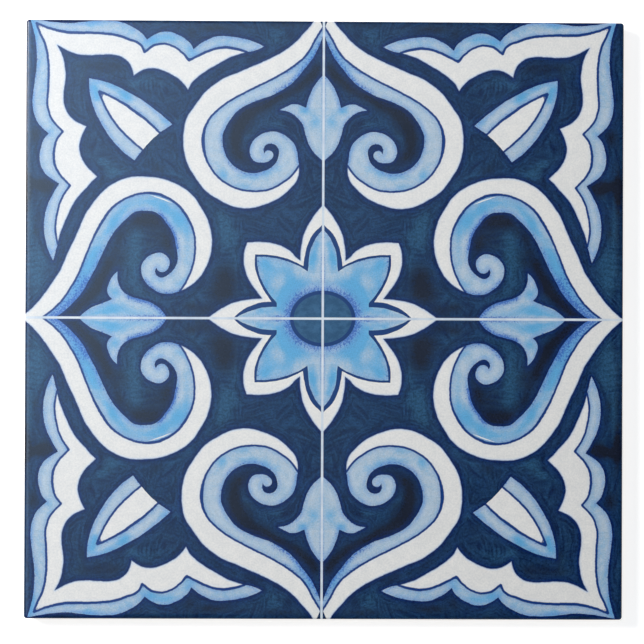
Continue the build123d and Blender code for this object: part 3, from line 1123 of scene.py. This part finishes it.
def blueFinish():
    material, tree, shader = newMaterial("sky blue wash")
    spot = attribute(tree, "spot", "Vector")
    gap = attribute(tree, "edgeGap")
    lineGap = attribute(tree, "lineGap")
    brush = placed(tree, "mottle", {"Spot": spot, "Gap": gap, "Size": 0.8})
    line = placed(tree, "line", {"Spot": spot, "Gap": lineGap, "Wobble": brushwork["lineWobble"]})
    uneven = timesPlus(tree, brush["Cloud"], 0.22, timesPlus(tree, brush["Grain"], 0.2, -0.2))
    skyWash = between(tree, calc(tree, "ADD", attribute(tree, "sky"), uneven), -0.1, 1.05)
    tone = timesPlus(tree, brush["Cloud"], 0.3, timesPlus(tree, brush["Grain"], 0.3, 0.12))
    colour = blended(tree, tone, "pale", "paleDeep")
    colour = blended(tree, skyWash, colour, "sky")
    # Pigment gathers along both edges of the wash
    edge = calc(tree, "MINIMUM", gap, calc(tree, "ADD", lineGap, 0.3))
    streaky = timesPlus(tree, brush["Streak"], 0.7, 0.2)
    gathered = times(tree, between(tree, edge, *brushwork["gathered"]), streaky)
    colour = blended(tree, gathered, colour, "gathered")
    pencil = attribute(tree, "stipple")
    colour = blended(tree, times(tree, pencil, brushwork["pencil"]), colour, "gathered")
    cover = calc(tree, "MAXIMUM", pencil, between(tree, gap, 0.0, 0.6, 0.5, 0.0))
    dots = placed(tree, "specks", {"Spot": spot, "Cover": cover, "Size": 1.05})
    colour = blended(tree, times(tree, dots["Specks"], brushwork["dots"]), colour, "stipple")
    colour = blended(tree, line["Line"], colour, "line")
    tooth = noise(tree, spot, *brushwork["tooth"])
    grain = timesPlus(tree, tooth, 0.8, timesPlus(tree, brush["Streak"], 0.08, 0.55))
    finishGlaze(tree, shader, scaled(tree, colour, grain))
    return material


def plainFinish(name, size, base, coats, grain=None):
    # A mottled wash under coats of other colours, each with the mottle's part and share that lays it
    material, tree, shader = newMaterial(name)
    spot = attribute(tree, "spot", "Vector")
    brush = placed(tree, "mottle", {"Spot": spot, "Gap": 0.0, "Size": size})
    colour = base
    for coat, part, share in coats:
        colour = blended(tree, times(tree, brush[part], share), colour, coat)
    if grain:
        colour = scaled(tree, colour, timesPlus(tree, brush["Grain"], *grain))
    finishGlaze(tree, shader, colour)
    return material


bareClay = {
    "glazeRun": (3.1 * mm, 3.25 * mm),  # height at which the glaze on the flanks ends
    "drips": 2.6 * mm,
    "roughness": 0.88,
    "glazedSmoother": 0.5,
    "bump": 0.5,
    "bumpHeight": 0.15 * mm,
}


def biscuitFinish():
    # Bare fired clay, with the glaze run a little way down the flanks
    material, tree, shader = newMaterial("biscuit and glaze run")
    place = addNode(tree, "ShaderNodeTexCoord").outputs["Object"]
    height = addNode(tree, "ShaderNodeSeparateXYZ", inputs={0: place}).outputs[2]
    edge = timesPlus(tree, noise(tree, place, 110.0, 3.0, 0.6), -bareClay["drips"], height)
    run = between(tree, edge, *bareClay["glazeRun"])
    cloud = noise(tree, place, 70.0, 4.0, 0.6)
    grit = noise(tree, place, 1400.0, 4.0, 0.7)
    clay = timesPlus(tree, grit, 0.6, times(tree, cloud, 0.4))
    colour = blended(tree, between(tree, clay, 0.35, 0.7), "biscuit", "biscuitDark")
    colour = blended(tree, run, colour, "runGlaze")
    roughness = timesPlus(tree, run, -bareClay["glazedSmoother"], bareClay["roughness"])
    tree.links.new(colour, shader.inputs["Base Color"])
    tree.links.new(roughness, shader.inputs["Roughness"])
    rough = times(tree, grit, calc(tree, "SUBTRACT", 1.0, times(tree, run, 0.8)))
    addBump(tree, shader, bareClay["bump"], bareClay["bumpHeight"], rough)
    return material


groups = {
    "mottle": brushMottleGroup(),
    "line": cobaltLineGroup(),
    "specks": drySpeckGroup(),
    "skin": glazeSkinGroup(),
}
finishes = {
    "ground": groundFinish(),
    "white": whiteFinish(),
    "blue": blueFinish(),
    "ink": plainFinish("flower ink", 0.6, "ink", [("ring", "Grain", 1.0), ("line", "Cloud", 0.3)]),
    "disc": plainFinish("teal disc wash", 0.6, "disc", [("discDeep", "Cloud", 1.0)], grain=(0.2, 0.9)),
    "cross": plainFinish("white parting line", 1.4, "cross", [("crossDull", "Cloud", 0.6)]),
    "biscuit": biscuitFinish(),
}
finishOrder = list(finishes)
print("glazes mixed:", ", ".join(finishes))

mesh = tileMesh(finishes)
addPaintingAttributes(mesh)
addBakeMap(mesh)
tile = addObject("tile", mesh)
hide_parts("tile")
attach(tile, "root")
print("tile painted")


studio = {
    "floorSize": 3.0,
    "floorDrop": 0.2 * mm,
    "floorGrey": 0.8,
    "floorWhite": 0.75,  # what the floor adds to the camera, reflections and glass, so that it is plain white
    "floorRough": 0.9,
    "keyPlace": (-0.44, 0.22, 0.55),
    "keySize": 0.3,
    "keyPower": 5.5,
    "keyColour": (1.0, 0.98, 0.955),
    "skyRise": (0.1, 0.7, 1.0, 0.0),  # height from, to, and the soft sky's light at each
    "roomStart": 0.1,  # up to here the glaze mirrors the white backdrop, from the next on the dark room
    "roomFull": 0.45,
    "windowPlace": (-0.208, 0.119),  # soft bluish window just left of overhead, that the glaze reflects
    "windowReach": 0.292,
    "windowTint": (5.3, 7.4, 10.0),
    "windowLight": 0.3,  # share of it that lights the object, beside what the glaze reflects
    "cameraPlace": (-20.92 * mm, -7.73 * mm, 906.7 * mm),
    "cameraTurn": (0.46, -1.29, 0.238),  # about x, y and z, in degrees
    "cameraLens": 197.5,
}


def backdropSeen(tree):
    # One for the rays that show the backdrop: to the camera, in reflections and through glass
    path = addNode(tree, "ShaderNodeLightPath")
    seen = calc(tree, "MAXIMUM", path.outputs["Is Camera Ray"], path.outputs["Is Glossy Ray"])
    return calc(tree, "MAXIMUM", seen, path.outputs["Is Transmission Ray"])


def addFloor():
    half = studio["floorSize"] / 2
    drop = -studio["floorDrop"]
    corners = [(-half, -half, drop), (half, -half, drop), (half, half, drop), (-half, half, drop)]
    material, tree, shader = newMaterial("studio floor")
    grey = studio["floorGrey"]
    shader.inputs["Base Color"].default_value = (grey, grey, grey, 1.0)
    shader.inputs["Roughness"].default_value = studio["floorRough"]
    shader.inputs["Emission Strength"].default_value = 1.0
    glow = times(tree, backdropSeen(tree), studio["floorWhite"])
    tree.links.new(glow, shader.inputs["Emission Color"])
    mesh = plainMesh("floor", corners, [(0, 1, 2, 3)])
    mesh.materials.append(material)
    addObject("floor", mesh)


def addWorld():
    # The camera sees white, the glaze mirrors a white backdrop below a dark room, and a soft sky gives light
    world = bpy.data.worlds.new("studio")
    bpy.context.scene.world = world
    world.use_nodes = True
    tree = world.node_tree
    tree.nodes.clear()
    way = addNode(tree, "ShaderNodeTexCoord").outputs["Generated"]
    rise = addNode(tree, "ShaderNodeSeparateXYZ", inputs={0: way}).outputs[2]
    away = addNode(tree, "ShaderNodeVectorMath", operation="DISTANCE", inputs={
        0: way, 1: (*studio["windowPlace"], 1.0),
    }).outputs["Value"]
    window = between(tree, away, 0.0, studio["windowReach"], 1.0, 0.0)
    tint = (*studio["windowTint"], 1.0)
    black = (0.0, 0.0, 0.0, 1.0)
    sky = between(tree, rise, *studio["skyRise"])
    lighting = blended(tree, times(tree, window, studio["windowLight"]), black, tint)
    lighting = blended(tree, 1.0, lighting, sky, "ADD")
    mirrored = blended(tree, window, black, tint)
    backdrop = between(tree, rise, studio["roomStart"], studio["roomFull"], 1.0, 0.0)
    mirrored = blended(tree, 1.0, mirrored, backdrop, "ADD")
    path = addNode(tree, "ShaderNodeLightPath")
    colour = blended(tree, path.outputs["Is Glossy Ray"], lighting, mirrored)
    seen = calc(tree, "MAXIMUM", path.outputs["Is Camera Ray"], path.outputs["Is Transmission Ray"])
    colour = blended(tree, seen, colour, (1.0, 1.0, 1.0, 1.0))
    background = addNode(tree, "ShaderNodeBackground", inputs={"Color": colour})
    addNode(tree, "ShaderNodeOutputWorld", inputs={"Surface": background.outputs[0]})


def addKeyLamp():
    lamp = bpy.data.lights.new("key", "AREA")
    lamp.shape = "DISK"
    lamp.size = studio["keySize"]
    lamp.energy = studio["keyPower"]
    lamp.color = studio["keyColour"]
    key = addObject("key", lamp)
    key.location = studio["keyPlace"]
    key.rotation_euler = Vector(studio["keyPlace"]).to_track_quat("Z", "Y").to_euler()


def addCamera():
    aboutX, aboutY, aboutZ = (math.radians(turn) for turn in studio["cameraTurn"])
    turn = Matrix.Rotation(aboutY, 4, "Y") @ Matrix.Rotation(aboutX, 4, "X")
    turn = turn @ Matrix.Rotation(aboutZ, 4, "Z")
    camera = addObject("camera", bpy.data.cameras.new("camera"))
    camera.matrix_world = Matrix.Translation(studio["cameraPlace"]) @ turn
    camera.data.lens = studio["cameraLens"]
    camera.data.clip_start = 0.05
    bpy.context.scene.camera = camera


addFloor()
addWorld()
addKeyLamp()
addCamera()
bpy.context.scene.view_settings.view_transform = "Standard"
print("studio set up")
